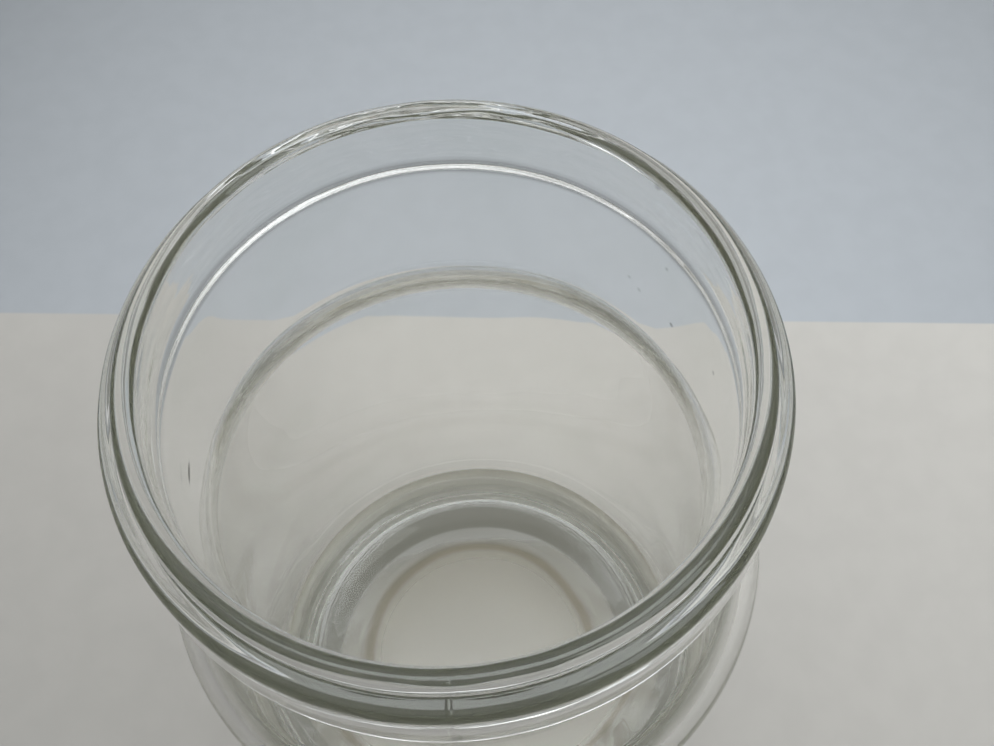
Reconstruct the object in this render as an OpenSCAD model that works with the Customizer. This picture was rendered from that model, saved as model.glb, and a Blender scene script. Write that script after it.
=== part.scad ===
// Gas jar: one piece of moulded clear glass with a rounded lip, a collar below it,
// a straight neck, a wide throat, a sloping shoulder and a heavy base over a deep hollow.
// The foot stands on z = 0 and the axis of the jar is z.

/* [Overall] */
// Height from the foot to the top of the lip
jar_h = 211; // [150:1:320]
// Outside diameter of the body, where its wall would meet the shoulder if that were not rounded
body_d = 126.5; // [104:0.5:180]
// How far the body narrows on each side, from the shoulder down to the foot
body_taper = 1.75; // [0:0.05:6]
// Thickness of the glass in the neck, the shoulder and the top of the body
wall_t = 3; // [2.5:0.1:6]
// Thickness of the body's wall where it comes down to the base
foot_wall_t = 4; // [2.5:0.1:7]

/* [Neck] */
// Outside diameter of the neck under the collar
neck_d = 102.8; // [84:0.2:122]
// How far the neck narrows on each side, from the collar down to the throat
neck_taper = 2.2; // [0:0.1:3]
// Depth of the throat, where the neck turns into the shoulder, from the top of the lip
throat_depth = 57; // [34:1:90]

/* [Lip] */
// How far the mouth lies in from the outside of the neck
mouth_inset = 3.4; // [2.4:0.1:6]
// Thickness of the lip
lip_t = 4.2; // [3.4:0.1:6]
// Radius that rounds both edges of the lip
lip_round = 1.85; // [0.8:0.05:2.4]

/* [Collar] */
// How far the collar stands out from the neck at its upper edge
collar_out = 3.6; // [3:0.1:8]
// How much further its lower edge stands out
collar_flare = 0.5; // [0:0.1:2]
// Height of the collar
collar_h = 14; // [9:0.5:24]
// Depth of the groove between lip and collar, from the top of the lip
groove_depth = 4.2; // [3.6:0.1:8]
// How far the bottom of the groove lies in from the outside of the neck
groove_inset = 0.1; // [0:0.1:1]
// Radius in the bottom of the groove
groove_round = 0.6; // [0.2:0.1:1.2]
// Radius on the upper edge of the collar
collar_round = 2.2; // [0.5:0.1:3]
// Radius on the lower edge of the collar
collar_low_round = 2; // [0.5:0.1:2.6]
// Radius where the collar meets the neck
collar_fillet = 1.2; // [0.3:0.1:2]

/* [Shoulder] */
// Slope of the shoulder, down from level
shoulder_slope = 46; // [40:1:60]
// Share of the slope that is rounded into the body
shoulder_share = 0.42; // [0.3:0.01:0.43]
// Share of the slope that is rounded into the throat
throat_share = 0.56; // [0.04:0.01:0.56]

/* [Base] */
// Radius of the heel, outside
heel_round = 1.6; // [0.5:0.1:3]
// Radius of the heel, inside
heel_inside_round = 10; // [6:0.5:24]
// Width of the standing ring, from the edge of the foot to the hollow
ring_w = 3.5; // [3.5:0.1:8]
// Radius on the inner edge of that ring
ring_round = 0.5; // [0.2:0.1:0.8]
// Height of the hollow under the base, at the axis
hollow_h = 16; // [8:0.5:24]
// How far the flat top of the hollow stays in from the edge of the foot
crown_margin = 26; // [22:0.5:34]
// How much lower the edge of that top is
crown_drop = 0.8; // [0.2:0.1:2]
// Radius on the edge of that top
crown_round = 6; // [2:0.5:8]
// How far the bend in the hollow's slope stays in from the edge of the foot
knee_margin = 17.5; // [14:0.5:20]
// How much lower than the axis that bend is
knee_drop = 5.5; // [4.5:0.1:7]
// Radius of that bend
knee_round = 20; // [8:0.5:24]
// Thickness of the base, from the hollow up to the floor inside
base_t = 4.5; // [3:0.1:10]
// How far the low dome in the middle of the floor stays in from the edge of the foot
dome_margin = 23.5; // [20:0.5:40]
// Rise of that dome
dome_h = 0.5; // [0.3:0.1:4]

/* [Hidden] */
$fn = 128;
// How far an arc runs past the sides that it rounds, so that it crosses them
lap = 0.005;
glass = [0.80, 0.86, 0.83, 0.45];
foot_d = body_d - 2 * body_taper;
throat_d = neck_d - 2 * neck_taper;
mouth_d = neck_d - 2 * mouth_inset;
groove_d = neck_d - 2 * groove_inset;
collar_d = neck_d + 2 * collar_out;
collar_low_d = collar_d + 2 * collar_flare;
dome_d = foot_d - 2 * dome_margin;
crown_d = foot_d - 2 * crown_margin;
knee_d = foot_d - 2 * knee_margin;
ring_d = foot_d - 2 * ring_w;
crown_z = hollow_h - crown_drop;
knee_z = hollow_h - knee_drop;
floor_z = hollow_h + base_t;
groove_z = jar_h - groove_depth;
collar_z = groove_z - collar_h;
throat_z = jar_h - throat_depth;
shoulder_w = (body_d - throat_d) / 2;
shoulder_z = throat_z - shoulder_w * tan(shoulder_slope);
// Radii that take up their shares of the slope, each of which turns it to upright
slope_turn = 90 - shoulder_slope;
slope_l = shoulder_w / cos(shoulder_slope);
shoulder_round = shoulder_share * slope_l / tan(slope_turn / 2);
throat_round = throat_share * slope_l / tan(slope_turn / 2);
// Step down from an outside corner of the shoulder to the inside corner behind it
shell_drop = wall_t * tan(slope_turn / 2);

// Corners of the outside, from the hollow up, as [radius from the axis, height, rounding]
outside = [
    [0, hollow_h, 0],
    [crown_d / 2, crown_z, crown_round],
    [knee_d / 2, knee_z, knee_round],
    [ring_d / 2, 0, ring_round],
    [foot_d / 2, 0, heel_round],
    [body_d / 2, shoulder_z, shoulder_round],
    [throat_d / 2, throat_z, throat_round],
    [neck_d / 2, collar_z, collar_fillet],
    [collar_low_d / 2, collar_z, collar_low_round],
    [collar_d / 2, groove_z, collar_round],
    [groove_d / 2, groove_z, groove_round],
    [mouth_d / 2 + lip_t, jar_h, lip_round],
];

// Corners of the inside, from the lip down to the floor
inside = [
    [mouth_d / 2, jar_h, lip_round],
    [mouth_d / 2, collar_z, 0],
    [throat_d / 2 - wall_t, throat_z - shell_drop, throat_round + wall_t],
    [body_d / 2 - wall_t, shoulder_z - shell_drop, shoulder_round - wall_t],
    [foot_d / 2 - foot_wall_t, floor_z, heel_inside_round],
    [0, floor_z, 0],
];

section = concat(outside, inside);

function at(i) = section[(i + len(section)) % len(section)];
function place(i) = [at(i)[0], at(i)[1]];
function unit(v) = v / norm(v);
function ahead(i) = unit(place(i + 1) - place(i));
function behind(i) = unit(place(i - 1) - place(i));

// Half the angle between the two sides of a corner
function half_angle(i) = acos(ahead(i) * behind(i)) / 2;

// Where the rounding of a corner leaves its two sides, and the centre of that rounding
function reach(i) = at(i)[2] / tan(half_angle(i));
function leaves(i) = place(i) + behind(i) * reach(i);
function meets(i) = place(i) + ahead(i) * reach(i);
function centre(i) = place(i) + unit(ahead(i) + behind(i)) * at(i)[2] / sin(half_angle(i));

// A corner stands proud where the outline turns left, and is a hollow where it turns right
function turn(i) = behind(i)[1] * ahead(i)[0] - behind(i)[0] * ahead(i)[1];
function is_round(i) = at(i)[2] > 0;

// The slice of the plane from the centre of a rounding out to just past its corner
module corner_slice(i) {
    polygon([
        centre(i),
        meets(i),
        place(i) + unit(place(i) - centre(i)) * wall_t / 4,
        leaves(i)
    ]);
}

// What lies between a corner and its rounding: cut from a proud corner, added in a hollow one
module spandrel(i) {
    difference() {
        corner_slice(i);
        translate(centre(i))
            circle(r = at(i)[2] + lap);
    }
}

// A disc on the axis that rises by height above level, over the given width
module axis_disc(width, height, level) {
    radius = (width * width / 4 + height * height) / (2 * height);
    translate([0, level + height - radius])
        circle(r = radius);
}

module floor_dome() {
    intersection() {
        axis_disc(dome_d, dome_h, floor_z);
        translate([0, floor_z - dome_h])
            square([dome_d, 2 * dome_h]);
    }
}

module jar_section() {
    difference() {
        union() {
            polygon([for (i = [0 : len(section) - 1]) place(i)]);
            for (i = [0 : len(section) - 1])
                if (is_round(i) && turn(i) < 0)
                    spandrel(i);
            floor_dome();
        }
        for (i = [0 : len(section) - 1])
            if (is_round(i) && turn(i) > 0)
                spandrel(i);
    }
}

module jar() {
    color(glass)
        rotate_extrude()
            jar_section();
}

jar();
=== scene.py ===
# %% [markdown]
# # A clear glass gas jar
# The jar is one piece of moulded glass, open at the top. The imported model gives its exact shape and size,
# and this lesson gives it the looks of real glass: a slightly uneven wall, a grey-green tint where the glass
# is thick, a seam from the mould, and a few marks of use. The frame is loaded first.

# %% Load the frame
import math
import bpy
from mathutils import Matrix, Vector


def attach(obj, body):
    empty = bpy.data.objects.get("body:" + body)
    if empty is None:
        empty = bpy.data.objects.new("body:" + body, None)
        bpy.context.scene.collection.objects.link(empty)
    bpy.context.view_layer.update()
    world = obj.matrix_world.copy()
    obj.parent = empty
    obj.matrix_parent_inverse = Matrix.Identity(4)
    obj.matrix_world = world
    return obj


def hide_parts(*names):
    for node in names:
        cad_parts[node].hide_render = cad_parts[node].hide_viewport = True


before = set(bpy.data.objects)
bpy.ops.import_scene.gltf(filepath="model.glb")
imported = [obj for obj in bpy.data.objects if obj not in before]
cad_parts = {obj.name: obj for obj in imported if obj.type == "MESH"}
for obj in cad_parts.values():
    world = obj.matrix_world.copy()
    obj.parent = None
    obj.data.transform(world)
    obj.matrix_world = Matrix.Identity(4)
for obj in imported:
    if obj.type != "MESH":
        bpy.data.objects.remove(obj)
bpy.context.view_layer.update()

# %% [markdown]
# ## Node trees written as sums
# Materials, the light around the jar and the turning of the glass are all node trees. Placing nodes one by
# one makes long scripts, so one small class holds the output of a node and answers to plus, minus, times and
# divided by. A sum on such outputs then adds its own Math nodes. The second class is the tree: its method
# node makes any node from its type, its settings and what goes into its sockets, and the other methods are
# short forms of that one.

# %% A wire and a board
class Wire:
    """One output of a node. Sums on it add Math nodes to the same tree."""

    def __init__(self, board, made, out=0):
        self.board, self.made, self.out = board, made, made.outputs[out]

    def __getitem__(self, name):
        return Wire(self.board, self.made, name)

    def sum(self, operation, *values):
        return self.board.node("ShaderNodeMath", {"operation": operation}, dict(enumerate(values)))

    def __add__(self, other):
        return self.sum("ADD", self, other)

    def __radd__(self, other):
        return self.sum("ADD", other, self)

    def __sub__(self, other):
        return self.sum("SUBTRACT", self, other)

    def __rsub__(self, other):
        return self.sum("SUBTRACT", other, self)

    def __mul__(self, other):
        return self.sum("MULTIPLY", self, other)

    def __rmul__(self, other):
        return self.sum("MULTIPLY", other, self)

    def __truediv__(self, other):
        return self.sum("DIVIDE", self, other)

    def __rtruediv__(self, other):
        return self.sum("DIVIDE", other, self)

    def __pow__(self, other):
        return self.sum("POWER", self, other)

    def size(self):
        return self.sum("ABSOLUTE", self)

    def rise(self, low, high):
        """0 below low, 1 above high, with a soft start and end. With high below low it falls."""
        falls = high < low
        start, end = (high, low) if falls else (low, high)
        return self.board.node(
            "ShaderNodeMapRange",
            {"interpolation_type": "SMOOTHSTEP"},
            {
                "Value": self,
                "From Min": start,
                "From Max": end,
                "To Min": float(falls),
                "To Max": float(not falls),
            },
        )


class Board:
    """A node tree that makes its nodes from their type, their settings and what their sockets take."""

    def __init__(self, tree):
        self.tree = tree
        tree.nodes.clear()

    def node(self, kind, settings=None, sockets=None):
        made = self.tree.nodes.new(kind)
        for name, value in (settings or {}).items():
            setattr(made, name, value)
        for name, value in (sockets or {}).items():
            if isinstance(value, Wire):
                self.tree.links.new(value.out, made.inputs[name])
            elif value is not None:
                made.inputs[name].default_value = value
        return Wire(self, made) if made.outputs else made

    def vector(self, operation, *values):
        return self.node("ShaderNodeVectorMath", {"operation": operation}, dict(enumerate(values)))

    def blend(self, factor, first, second):
        """A colour that goes from the first to the second as the factor goes from 0 to 1."""
        made = self.node("ShaderNodeMix", {"data_type": "RGBA"}, {"Factor": factor, 6: first, 7: second})
        return Wire(self, made.made, 2)

    def colour(self, level, tint):
        """A grey level times a tint."""
        return self.node("ShaderNodeCombineColor", None, {i: level * part for i, part in enumerate(tint)})


print("the wire and the board are ready")

# %% [markdown]
# ## The section of the glass
# A jar like this is pressed or blown in a mould, so every cut through its axis looks the same. That cut is a
# chain of corners, each with a rounding, from the hollow under the base, up the outside, over the collar and
# the lip, and down the inside to the floor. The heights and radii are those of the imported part, in metres.
# Two slight bends inside, under the mouth and at the edge of the dome, are rounded here as well.

# %% Corners of the section
mm = 0.001
jar_h, body_r, foot_r, wall, foot_wall = 211 * mm, 63.25 * mm, 61.5 * mm, 3 * mm, 4 * mm
neck_r, throat_r, mouth_r, groove_r = 51.4 * mm, 49.2 * mm, 48 * mm, 51.3 * mm
collar_r, collar_low_r, lip_r = 55 * mm, 55.5 * mm, 52.2 * mm
groove_z, collar_z, throat_z = 206.8 * mm, 192.8 * mm, 154 * mm
slope = math.radians(46)
turn = math.tan((math.pi / 2 - slope) / 2)
slope_l = (body_r - throat_r) / math.cos(slope)
shoulder_z = throat_z - (body_r - throat_r) * math.tan(slope)
shoulder_share, throat_share = 0.42, 0.56
shoulder_round, throat_round = shoulder_share * slope_l / turn, throat_share * slope_l / turn
throat_in_z, throat_in_round = throat_z - wall * turn, throat_round + wall
shoulder_in_z = shoulder_z - wall * turn
floor_z, dome_r, dome_h, dome_steps = 20.5 * mm, 38 * mm, 0.5 * mm, 14
rim_r, knee_r, knee_z = 58 * mm, 44 * mm, 10.5 * mm
crown_r, crown_z, hollow_z = 35.5 * mm, 15.2 * mm, 16 * mm


def low_arc(width, height, level, count):
    """Points of a shallow arc over the axis, from its edge to its top."""
    radius = (width * width + height * height) / (2 * height)
    edges = [width * (1 - i / count) for i in range(count + 1)]
    return [(r, level + height - radius + math.sqrt(radius * radius - r * r)) for r in edges]


dome = [(r, z, 0, 1) for r, z in low_arc(dome_r, dome_h, floor_z, dome_steps)]
dome[0] = (dome_r, floor_z, 8 * mm, 6)
# Radius, height and rounding of each corner, and the steps of its arc
section = [
    (0, hollow_z, 0, 1),
    (crown_r, crown_z, 6 * mm, 12),
    (knee_r, knee_z, 20 * mm, 10),
    (rim_r, 0, 0.5 * mm, 6),
    (foot_r, 0, 1.6 * mm, 10),
    (body_r, shoulder_z, shoulder_round, 26),
    (throat_r, throat_z, throat_round, 14),
    (neck_r, collar_z, 1.2 * mm, 8),
    (collar_low_r, collar_z, 2 * mm, 14),
    (collar_r, groove_z, 2.2 * mm, 18),
    (groove_r, groove_z, 0.6 * mm, 8),
    (lip_r, jar_h, 1.85 * mm, 18),
    (mouth_r, jar_h, 1.85 * mm, 18),
    (mouth_r, collar_z, 30 * mm, 4),
    (throat_r - wall, throat_in_z, throat_in_round, 18),
    (body_r - wall, shoulder_in_z, shoulder_round - wall, 26),
    (foot_r - foot_wall, floor_z, 10 * mm, 22),
] + dome
print("the section has", len(section), "corners")

# %% [markdown]
# The chain becomes a small mesh of points and edges. Each point carries its rounding and the number of steps
# that its arc gets, as attributes, so that the nodes can read them. Heights are written below zero, because
# the Y of a profile points down when it is carried round the circle.

# %% The chain of corners
swing_r = 50 * mm


def chain_of(corners):
    mesh = bpy.data.meshes.new("section")
    points = [(r - swing_r, -z, 0) for r, z, _, _ in corners]
    mesh.from_pydata(points, [(i, i + 1) for i in range(len(points) - 1)], [])
    for name, column in (("rounding", 2), ("arc_steps", 3)):
        layer = mesh.attributes.new(name, "FLOAT", "POINT")
        layer.data.foreach_set("value", [float(c[column]) for c in corners])
    return mesh


glass_jar = bpy.data.objects.new("glass_jar", chain_of(section))
bpy.context.scene.collection.objects.link(glass_jar)
print("chain of", len(glass_jar.data.vertices), "points")

# %% [markdown]
# ## Clear glass
# Glass shows little of itself. It bends what lies behind it, mirrors the room at its edges, and looks
# grey-green only where light runs a long way inside it. So the tint is a Volume Absorption, which grows with
# the depth of the glass, and the surface itself stays clear. What varies over it is small: faint smears of
# handling, painted shade in the base with a painted shadow line on its floor, and the seam where the halves
# of the mould met.

# %% Glass material: where things are
clear_glass = bpy.data.materials.new("clear_glass")
clear_glass.use_nodes = True
board = Board(clear_glass.node_tree)
place = board.node("ShaderNodeTexCoord")["Object"]
axes = board.node("ShaderNodeSeparateXYZ", None, {0: place})
x, y, z = axes["X"], axes["Y"], axes["Z"]
radius = (x * x + y * y) ** 0.5
print("the glass knows its heights and radii")

# %% [markdown]
# The two halves of the mould leave a thin ridge where they met. It shows best on the front of the collar, and
# it is thinner than the faces of the mesh, so it is a height for the Bump node. The ridge lies in a plane
# through the axis: the distance from that plane says where it runs. Side and radius keep it to the near half
# and out of the mouth.

# %% Glass material: the seam
seam_turn, seam_h = math.radians(-95.6), 0.12 * mm
off_plane = (x * math.sin(seam_turn) - y * math.cos(seam_turn)).size()
near_half = radius.rise(50.2 * mm, 50.6 * mm) * y.rise(0.0, -10 * mm)
seam = off_plane.rise(0.6 * mm, 0.1 * mm) * near_half
bump = board.node("ShaderNodeBump", None, {"Strength": 1.0, "Distance": seam_h, "Height": seam})
print("with the seam the tree has", len(board.tree.nodes), "nodes")

# %% [markdown]
# The jar is used, and it is not quite clean. The middle of its floor is dull, and the ring that the jar
# stands on is scuffed. The solid bottom is painted darker on both faces: this is painted shade, the jar's
# shadow on the top as it looks through the glass. A brown line on the floor is a painted shadow from under
# the rim of the hollow. One soft noise makes the faint smears of the wall, and it also bends the painted
# shadow line.

# %% Glass material: the base
cloud_scale, smear_from, smear_full = 45.0, 0.50, 0.72
clouds = board.node("ShaderNodeTexNoise", None, {"Vector": place, "Scale": cloud_scale, "Detail": 0.0})
smear = clouds.rise(smear_from, smear_full)
above_floor = floor_z + 2 * mm
# Painted shade: the solid bottom of the glass is made darker, as the jar's shadow on the top looks through
# it.
painted_base_shade = z.rise(above_floor, floor_z + 0.7 * mm) * radius.rise(50 * mm, 44 * mm)
on_floor = z.rise(above_floor, floor_z + 1 * mm) * z.rise(floor_z - 2.5 * mm, floor_z - 1.5 * mm)
dull = on_floor * radius.rise(36 * mm, 30 * mm)
# Painted shadow: a brown line on the floor of the glass, the shadow under the rim of the hollow as it looks
# through the base.
shadow_line_r, shadow_line_bend = 33.3 * mm, 2 * mm
off_line = (radius - shadow_line_r - clouds * shadow_line_bend).size()
painted_shadow_line = on_floor * off_line.rise(2.6 * mm, 0.4 * mm)
scuffed = z.rise(3 * mm, 0.8 * mm)
print("with the base the tree has", len(board.tree.nodes), "nodes")

# %% [markdown]
# Neck and lip carry a dark tick and some specks. The tick is a small egg around a point of the wall, and each
# speck a small ball: what lies inside them takes the dark colour. All of these marks only take light away, so
# they go into the colour.

# %% Glass material: tick and specks
tick_at, tick_half = (-47.3, -0.6, 179.5), (1.5, 2.9, 0.8)
# Place and half width in millimetres, and how dark the speck is
specks = (
    ((43.55, 18.35, 177.8), 0.55, 0.7),
    ((47.43, 3.88, 184.2), 0.5, 0.5),
    ((42.14, 22.84, 190.6), 0.5, 0.3),
    ((37.3, 29.13, 179.5), 0.5, 0.25),
    ((38.95, 26.79, 178.1), 0.55, 0.3),
    ((39.3, 27.6, 209.1), 0.7, 0.5),
)
speck_out, speck_core = 1.3 * mm, 0.6 * mm

off_tick = board.vector("SUBTRACT", place, [c * mm for c in tick_at])
in_tick = board.vector("DIVIDE", off_tick, [c * mm for c in tick_half])
marks = board.vector("LENGTH", in_tick)["Value"].rise(1.0, 0.5)
for at, half, strength in specks:
    off_speck = board.vector("DISTANCE", place, [c * mm for c in at])["Value"]
    marks = marks + off_speck.rise(half * speck_out, half * speck_core) * strength
print("the marks bring it to", len(board.tree.nodes), "nodes")

# %% [markdown]
# The Principled shader with full transmission is the glass, and the marks lie over its clear colour one after
# the other. The refractive index of common glass is 1.52. Its surface is smooth as fire leaves it, and rough
# only on the floor's dull middle and on the standing ring. The absorption takes a little less of green than
# of the rest, as iron in the glass does.

# %% Glass material: the glass itself
# The darker base colour is painted shade, and the brown is a painted shadow line.
clear, smeared, shaded_base = (0.99, 0.99, 0.985, 1), (0.965, 0.97, 0.96, 1), (0.80, 0.79, 0.745, 1)
shadow_brown, dark = (0.42, 0.37, 0.28, 1), (0.03, 0.03, 0.025, 1)
handled = board.blend(smear, clear, smeared)
with_base_shade = board.blend(painted_base_shade, handled, shaded_base)
with_shadow_line = board.blend(painted_shadow_line, with_base_shade, shadow_brown)
shade = board.blend(marks, with_shadow_line, dark)
polished, dull_rough, scuff_rough = 0.001, 0.28, 0.45
glass = board.node(
    "ShaderNodeBsdfPrincipled",
    None,
    {
        "Base Color": shade,
        "Roughness": polished + dull * dull_rough + scuffed * scuff_rough,
        "Normal": bump,
        "IOR": 1.52,
        "Transmission Weight": 1.0,
    },
)
depth = board.node("ShaderNodeVolumeAbsorption", None, {"Color": (0.42, 0.45, 0.34, 1), "Density": 8.0})
board.node("ShaderNodeOutputMaterial", None, {"Surface": glass, "Volume": depth})
print("clear glass has", len(board.tree.nodes), "nodes")

# %% [markdown]
# ## Turning the glass
# A lathe turns one section into the whole jar. The nodes round the corners of the chain, put points along its
# straight parts, more of them in lip and collar, and carry it round a circle. The sizes are named inputs of
# the tree, so that the jar can be turned finer or coarser without a change to its nodes.

# %% The lathe
lathe = bpy.data.node_groups.new("glass_lathe", "GeometryNodeTree")
face = lathe.interface
sockets = {}
for name, kind, value in (
    ("Section", "NodeSocketGeometry", None),
    ("Steps round", "NodeSocketInt", 208),
    ("Step along", "NodeSocketFloat", 4 * mm),
    ("Swing radius", "NodeSocketFloat", swing_r),
    ("Wave height", "NodeSocketFloat", 0.12 * mm),
    ("Wave length", "NodeSocketFloat", 30 * mm),
    ("Line height", "NodeSocketFloat", 0.08 * mm),
    ("Line width", "NodeSocketFloat", 2.4 * mm),
    ("Seed", "NodeSocketFloat", 4.0),
    ("Glass", "NodeSocketMaterial", clear_glass),
):
    item = face.new_socket(name=name, in_out="INPUT", socket_type=kind)
    sockets[name] = (item.identifier, value)
face.new_socket(name="Jar", in_out="OUTPUT", socket_type="NodeSocketGeometry")

board = Board(lathe)
given = board.node("NodeGroupInput")


def attribute(name):
    return board.node("GeometryNodeInputNamedAttribute", {"data_type": "FLOAT"}, {"Name": name})


chain = board.node("GeometryNodeMeshToCurve", None, {"Mesh": given["Section"]})
rounded = board.node(
    "GeometryNodeFilletCurve",
    {"mode": "POLY"},
    {
        "Curve": chain,
        "Radius": attribute("rounding"),
        "Count": attribute("arc_steps"),
        "Limit Radius": True,
    },
)
here = board.node("GeometryNodeInputPosition")
following = board.node("GeometryNodeOffsetPointInCurve", None, {"Offset": 1})["Point Index"]
there = board.node(
    "GeometryNodeFieldAtIndex", {"data_type": "FLOAT_VECTOR"}, {"Value": here, "Index": following}
)
gap = board.vector("DISTANCE", here, there)["Value"]
lip_from, lip_full, lip_steps = -190 * mm, -193 * mm, 6
down_here = board.node("ShaderNodeSeparateXYZ", None, {0: here})["Y"]
finer = 1 + down_here.rise(lip_from, lip_full) * lip_steps
steps = gap / given["Step along"] * finer
cuts = steps.sum("FLOOR", steps)
outline = board.node("GeometryNodeSubdivideCurve", None, {"Curve": rounded, "Cuts": cuts})
circle = board.node(
    "GeometryNodeCurvePrimitiveCircle",
    None,
    {"Resolution": given["Steps round"], "Radius": given["Swing radius"]},
)
turned = board.node("GeometryNodeCurveToMesh", None, {"Curve": circle, "Profile Curve": outline})
closed = board.node("GeometryNodeMergeByDistance", None, {"Geometry": turned, "Distance": 1e-6})
print("the lathe has", len(lathe.nodes), "nodes so far")

# %% [markdown]
# Moulded glass is never quite even, and the inside has other waves than the outside: that is what bends the
# lines behind a real jar. Lip and collar are shaped last, with a tool that turns on the hot glass, and it
# leaves fine lines that run round. Noise that changes quickly with height and radius, and slowly on the way
# round, gives such lines. Both push the skin along its normal, by about a tenth of a millimetre. The foot
# stays flat, because the jar stands on it.

# %% Uneven skin
inside_shift, slow_round, radius_share = 7.3, 3.0, 0.74
skin_at = board.node("GeometryNodeInputPosition")
normal = board.node("GeometryNodeInputNormal")
axes = board.node("ShaderNodeSeparateXYZ", None, {0: skin_at})
flat = board.node("ShaderNodeCombineXYZ", None, {"X": axes["X"], "Y": axes["Y"]})
outward = board.vector("NORMALIZE", flat)
facing_out = board.vector("DOT_PRODUCT", outward, normal)["Value"].rise(-0.5, 0.5)


def waves(shift):
    return board.node(
        "ShaderNodeTexNoise",
        {"noise_dimensions": "4D"},
        {
            "Vector": skin_at,
            "W": given["Seed"] + shift,
            "Scale": 1 / given["Wave length"],
            "Detail": 1.0,
            "Roughness": 0.4,
        },
    )


uneven = waves(0.0) * facing_out + waves(inside_shift) * (1 - facing_out) - 0.5
radius = board.vector("LENGTH", flat)["Value"]
slow = board.vector("SCALE", outward, None, None, slow_round)
sides = board.node("ShaderNodeSeparateXYZ", None, {0: slow})
across = (axes["Z"] + radius * radius_share) / given["Line width"]
round_way = board.node("ShaderNodeCombineXYZ", None, {"X": sides["X"], "Y": sides["Y"], "Z": across})
lines = board.node(
    "ShaderNodeTexNoise", None, {"Vector": round_way, "Scale": 1.0, "Detail": 2.0, "Roughness": 0.6}
)
in_finish, off_foot = axes["Z"].rise(188 * mm, 196 * mm), axes["Z"].rise(0.0, 6 * mm)
fine = (lines - 0.5) * given["Line height"] * 2 * in_finish
push = uneven * given["Wave height"] * 2 * off_foot + fine
moved = board.node("ShaderNodeVectorMath", {"operation": "SCALE"}, {0: normal, "Scale": push})
skin = board.node("GeometryNodeSetPosition", None, {"Geometry": closed, "Offset": moved})
smooth = board.node("GeometryNodeSetShadeSmooth", None, {"Geometry": skin, "Shade Smooth": True})
solid = board.node("GeometryNodeRealizeInstances", None, {"Geometry": smooth})
glazed = board.node("GeometryNodeSetMaterial", None, {"Geometry": solid, "Material": given["Glass"]})
board.node("NodeGroupOutput", None, {"Jar": glazed})
print("the lathe has", len(lathe.nodes), "nodes")

# %% [markdown]
# The modifier's inputs are set by their identifiers before the jar is evaluated for the first time. Then the
# result is taken as a plain mesh, and the modifier goes away.

# %% The jar as a plain mesh
turning = glass_jar.modifiers.new("lathe", "NODES")
turning.node_group = lathe
for identifier, value in sockets.values():
    if value is not None:
        turning[identifier] = value


def made_plain(piece):
    ready = piece.evaluated_get(bpy.context.evaluated_depsgraph_get())
    mesh = bpy.data.meshes.new_from_object(ready)
    piece.modifiers.clear()
    old, piece.data = piece.data, mesh
    bpy.data.meshes.remove(old)
    return mesh


def volume(mesh):
    mesh.calc_loop_triangles()
    return sum(
        mesh.vertices[a].co.dot(mesh.vertices[b].co.cross(mesh.vertices[c].co)) / 6
        for a, b, c in (t.vertices for t in mesh.loop_triangles)
    )


mesh = made_plain(glass_jar)
if volume(mesh) < 0:
    mesh.flip_normals()
print(len(mesh.loop_triangles), "triangles,", round(volume(mesh) * 1e6, 1), "ml of glass")
reaches = [[point.co[axis] for point in mesh.vertices] for axis in range(3)]
print("box", [(round(min(along), 4), round(max(along), 4)) for along in reaches])

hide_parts("jar")
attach(glass_jar, "root")

# %% [markdown]
# ## The stage
# The jar stands on a pale top without a pattern, cream in front and blue-grey behind. Clear glass has the
# colour of what is seen through it, so light is painted into the top: its colour is painted brighter towards
# the right and the back and darker far away, with a painted pool of light behind the jar. The top lies a
# tenth of a millimetre under the jar, because two surfaces in one plane leave a black line round the base.

# %% Pale paint of the top, with painted light
pale_top_painted_light = bpy.data.materials.new("pale_top_painted_light")
pale_top_painted_light.use_nodes = True
board = Board(pale_top_painted_light.node_tree)
place = board.node("ShaderNodeTexCoord")["Object"]
axes = board.node("ShaderNodeSeparateXYZ", None, {0: place})
x, y = axes["X"], axes["Y"]
line_y, line_lean, line_half = 134 * mm, -0.153, 0.6 * mm
# Painted light: a lighter pool on the top behind the jar.
light_pool_at, light_pool_out, light_pool_core, light_pool_gain = (0.01, 0.10, 0.0), 0.11, 0.02, 0.09
grain_scale, grain_low, grain_span = 90.0, 0.985, 0.03
darkest, lightest = 0.30, 0.63
# Painted light: brightness at the foot of the jar, and its gain per metre to the right and to the back
near_tone, near_right, near_back = 0.463, 0.470, 0.689
far_tone, far_right, far_back = 0.517, 0.248, 0.424
# Painted light: the far field darkens with the square of the distance in each direction
far_fade_x, far_fade_y = 2.17, 1.96
cream_tint, blue_grey_tint = (1.036, 1.0, 0.932), (0.946, 1.0, 1.055)

beyond = (y - x * line_lean - line_y).rise(-line_half, line_half)
mottle = board.node("ShaderNodeTexNoise", None, {"Vector": place, "Scale": grain_scale, "Detail": 2.0})
grain = grain_low + mottle.rise(0.3, 0.7) * grain_span
painted_light_pool = board.vector("DISTANCE", place, light_pool_at)["Value"].rise(light_pool_out, light_pool_core)
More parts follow.
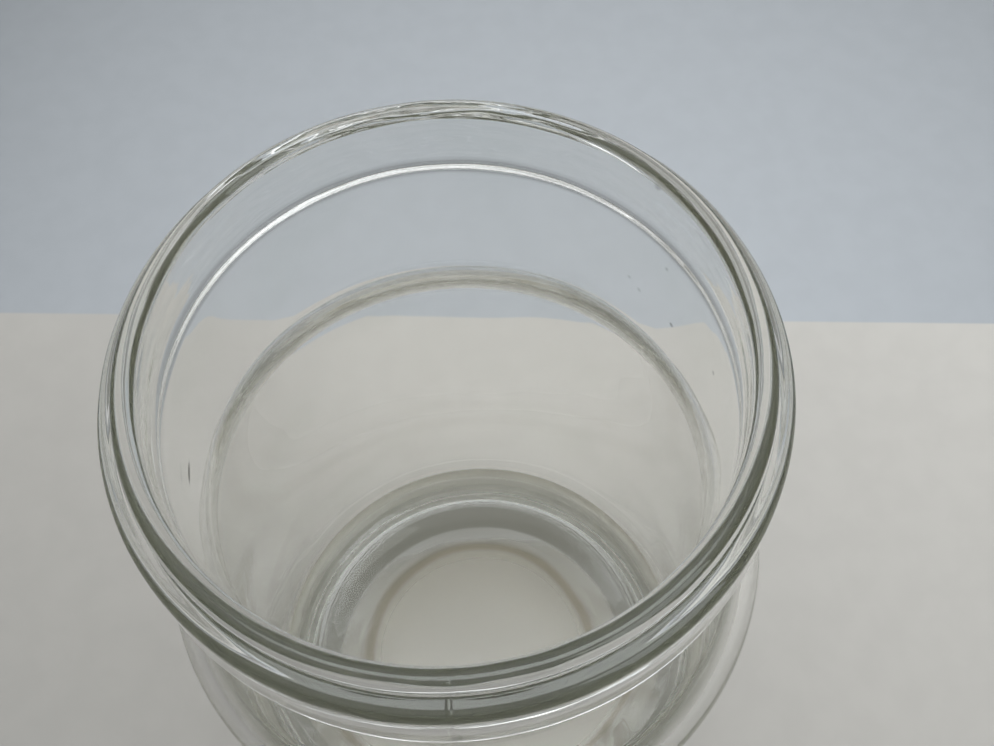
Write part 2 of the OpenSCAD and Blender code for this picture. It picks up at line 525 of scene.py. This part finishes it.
# Painted light: both fields are made lighter to the right and the back, and the far one darker far away. The
# near one gets a painted pool of light.
near_painted_light = near_tone + x * near_right + y * near_back + painted_light_pool * light_pool_gain
near_painted_level = near_painted_light.sum("MAXIMUM", near_painted_light, darkest)
far_painted_light = far_tone + x * far_right + y * far_back - x * x * far_fade_x - y * y * far_fade_y
cream = board.colour(near_painted_level.sum("MINIMUM", near_painted_level, lightest) * grain, cream_tint)
blue_grey = board.colour(far_painted_light.sum("MAXIMUM", far_painted_light, darkest) * grain, blue_grey_tint)
two_fields = board.blend(beyond, cream, blue_grey)
paint = board.node("ShaderNodeBsdfPrincipled", None, {"Base Color": two_fields, "Roughness": 0.85})
board.node("ShaderNodeOutputMaterial", None, {"Surface": paint})
print("the pale top has", len(board.tree.nodes), "nodes")

# %% [markdown]
# The top itself is one big square, far wider than the picture, so that no edge of it shows there.

# %% Table top
def flat_piece(name, corners):
    mesh = bpy.data.meshes.new(name)
    mesh.from_pydata(corners, [], [tuple(range(len(corners)))])
    piece = bpy.data.objects.new(name, mesh)
    bpy.context.scene.collection.objects.link(piece)
    return piece


reach, air_gap = 3.0, 0.1 * mm
sides = ((-reach, -reach), (reach, -reach), (reach, reach), (-reach, reach))
top = flat_piece("table_top", [(across, along, -air_gap) for across, along in sides])
top.data.materials.append(pale_top_painted_light)
print("the top is", 2 * reach, "m wide")

# %% [markdown]
# ## Light
# Clear glass is drawn by what stands around it. A soft glow above gives the long pale lines on the collar,
# and darkness near the level of the jar gives the dark ones at the rims and in the heel. Both are parts of
# the world, which has no hard edges that the base could mirror.

# %% World
dark_level, pale_sky = (0.20, 0.20, 0.175, 1), (0.75, 0.76, 0.775, 1)
sky_from, sky_full = 0.30, 0.90
glow_at, glow_half, glow_light = (0.05, 0.05), (0.42, 0.25), (3.90, 4.05, 4.20, 1)
glow_out, glow_core = 1.22, 0.62
world = bpy.data.worlds.new("room")
world.use_nodes = True
bpy.context.scene.world = world
board = Board(world.node_tree)
look = board.node("ShaderNodeTexCoord")["Generated"]
axes = board.node("ShaderNodeSeparateXYZ", None, {0: look})
lift = axes["Z"].rise(sky_from, sky_full)
around = board.blend(lift, dark_level, pale_sky)
side = (axes["X"] - glow_at[0]) / glow_half[0]
back = (axes["Y"] - glow_at[1]) / glow_half[1]
above = axes["Z"].rise(0.0, 0.5)
glow = ((side * side + back * back) ** 0.5).rise(glow_out, glow_core) * above
lit = board.blend(glow, around, glow_light)
sky = board.node("ShaderNodeBackground", None, {"Color": lit, "Strength": 1.0})
board.node("ShaderNodeOutputWorld", None, {"Surface": sky})
print("the world has", len(board.tree.nodes), "nodes")

# %% [markdown]
# One soft lamp on the right, in front, lights the near side. Inside a thick rim light is thrown from side to
# side many times, so the paths may be long: with short ones the rim would turn black.

# %% Lamp and paths
lamp_at, lamp_aim = Vector((0.7, -0.6, 1.1)), Vector((0, 0, 0.15))
lamp = bpy.data.lights.new("window", "AREA")
lamp.shape = "RECTANGLE"
lamp.size, lamp.size_y = 0.6, 0.8
lamp.energy, lamp.color = 2.5, (0.90, 0.95, 1.0)
window = bpy.data.objects.new("window", lamp)
window.location = lamp_at
window.rotation_euler = (lamp_aim - lamp_at).to_track_quat("-Z", "Y").to_euler()
bpy.context.scene.collection.objects.link(window)
long_path = 64
paths = bpy.context.scene.cycles
paths.max_bounces = paths.transmission_bounces = paths.glossy_bounces = long_path
paths.blur_glossy = 0.0
print("light is set")

# %% [markdown]
# ## Camera
# The picture looks down into the jar from close by. The camera was found from the rings of the jar: each is a
# circle about the same axis, and their ellipses fix the height, the distance and the tilt.

# %% Camera
picture_w, focal_px = 994, 1100.0
pitch, yaw, roll = (math.radians(a) for a in (61.872, 5.547, 2.08))
eye = Vector((0, -0.083765, 0.358985))
ahead = Vector((math.sin(yaw) * math.cos(pitch), math.cos(yaw) * math.cos(pitch), -math.sin(pitch)))
level_right = ahead.cross(Vector((0, 0, 1))).normalized()
level_down = ahead.cross(level_right)
right = level_right * math.cos(roll) + level_down * math.sin(roll)
up = level_right * math.sin(roll) - level_down * math.cos(roll)
lens = bpy.data.cameras.new("camera")
lens.sensor_width = 36.0
lens.lens = focal_px / picture_w * lens.sensor_width
lens.clip_start = 0.01
camera = bpy.data.objects.new("camera", lens)
turned_to = Matrix((right, up, -ahead)).transposed().to_4x4()
camera.matrix_world = Matrix.Translation(eye) @ turned_to
bpy.context.scene.collection.objects.link(camera)
bpy.context.scene.camera = camera
bpy.context.scene.view_settings.view_transform = "Standard"
print("camera at", [round(c, 3) for c in eye], "lens", round(lens.lens, 2))
